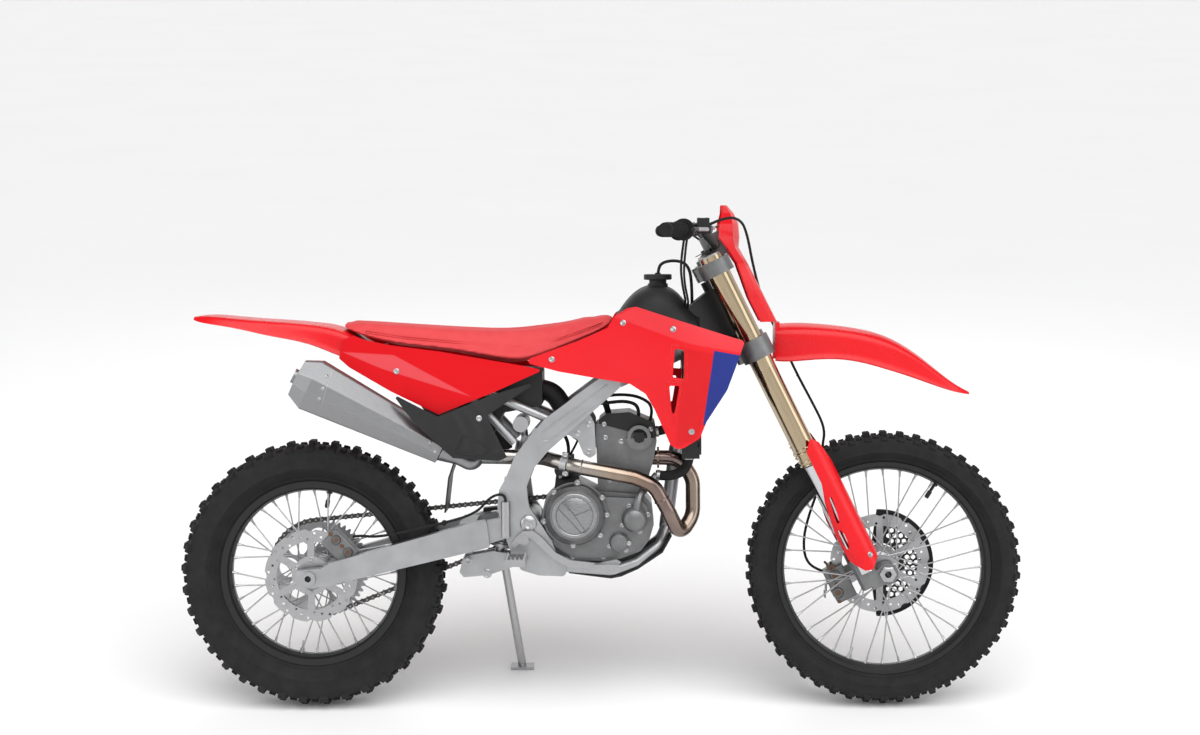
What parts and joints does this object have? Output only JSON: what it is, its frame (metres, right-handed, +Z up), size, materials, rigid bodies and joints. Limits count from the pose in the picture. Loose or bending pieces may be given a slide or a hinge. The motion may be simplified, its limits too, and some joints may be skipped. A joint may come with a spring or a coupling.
{
  "type": "motocross bike",
  "caption": "Off-road racing motorcycle with long-travel fork, knobbly tyres, wire wheels, single-cylinder engine and tall flat seat, parked on its side stand.",
  "frame": {"origin": "on the ground under the middle of the whole box, with the bike leaning on its side stand", "axes": "+X the way the bike faces, +Y its left, +Z up"},
  "size_m": [2.1772, 0.8346, 1.3012],
  "materials": {
    "red_plastic": "gloss moulded",
    "black_plastic": "grained moulded",
    "frame_alloy": "satin",
    "engine_alloy": "cast and bead blasted",
    "muffler_alloy": "brushed",
    "gold_anodised": "anodised and polished",
    "fork_chrome": "polished",
    "pipe_steel": "brushed stainless",
    "chain_steel": "oiled",
    "spring_steel": "painted",
    "black_metal": "satin black",
    "seat_cover": "grained grippy cover",
    "grip_rubber": "ribbed",
    "tyre_rubber": "matt"
  },
  "bodies": {
    "chassis": {"main_frame": "frame_alloy", "subframe": "frame_alloy", "crankcase": "engine_alloy", "engine_covers": "engine_alloy", "cylinder": "engine_alloy", "head_cover": "black_metal", "exhaust_header": "pipe_steel", "muffler": "muffler_alloy", "radiators": "frame_alloy", "fuel_tank": "black_plastic", "fuel_cap": "black_plastic", "seat": "seat_cover", "shrouds": "red_plastic", "side_covers": "red_plastic", "lower_covers": "black_plastic", "rear_fender": "red_plastic", "swingarm": "frame_alloy", "chain_guides": "black_plastic", "drive_chain": "chain_steel", "linkage": "frame_alloy", "shock_absorber": "spring_steel", "airbox": "black_plastic", "skid_plate": "black_plastic", "footpegs": "pipe_steel", "foot_controls": "pipe_steel", "rear_caliper": "black_metal", "rear_axle": "pipe_steel", "front_sprocket": "chain_steel"},
    "steering": {"triple_clamps": "engine_alloy", "bar_clamps": "black_metal", "fork_outer_tubes": "gold_anodised", "fork_inner_tubes": "fork_chrome", "fork_lugs": "engine_alloy", "fork_guards": "red_plastic", "front_fender": "red_plastic", "number_plate": "red_plastic", "handlebar": "black_metal", "grips": "grip_rubber", "controls": "black_metal", "front_caliper": "black_metal", "disc_guard": "black_plastic", "front_axle": "pipe_steel"},
    "front_wheel": {"front_tyre": "tyre_rubber", "front_rim": "black_metal", "front_hub": "black_metal", "front_disc": "pipe_steel"},
    "rear_wheel": {"rear_tyre": "tyre_rubber", "rear_rim": "black_metal", "rear_hub": "black_metal", "rear_disc": "pipe_steel", "rear_sprocket": "chain_steel"},
    "side_stand": {"side_stand": "pipe_steel"}
  },
  "joints": [
    {"name": "steering_turn", "type": "hinge", "parent": "chassis", "child": "steering", "pos_m": [0.33054, -0.03372, 1.01463], "axis": [-0.4415, 0.1481, 0.885], "range_deg": [-43, 43]},
    {"name": "front_wheel_spin", "type": "hinge", "parent": "steering", "child": "front_wheel", "pos_m": [0.73413, -0.14442, 0.3531], "axis": [0, 0.9863, -0.165], "continuous": true},
    {"name": "rear_wheel_spin", "type": "hinge", "parent": "chassis", "child": "rear_wheel", "pos_m": [-0.74286, -0.1459, 0.34423], "axis": [0, 0.9863, -0.165], "continuous": true},
    {"name": "side_stand_fold", "type": "hinge", "parent": "chassis", "child": "side_stand", "pos_m": [-0.26487, -0.00483, 0.37537], "axis": [0, 0.9992, 0.0401], "range_deg": [0, 128]}
  ]
}
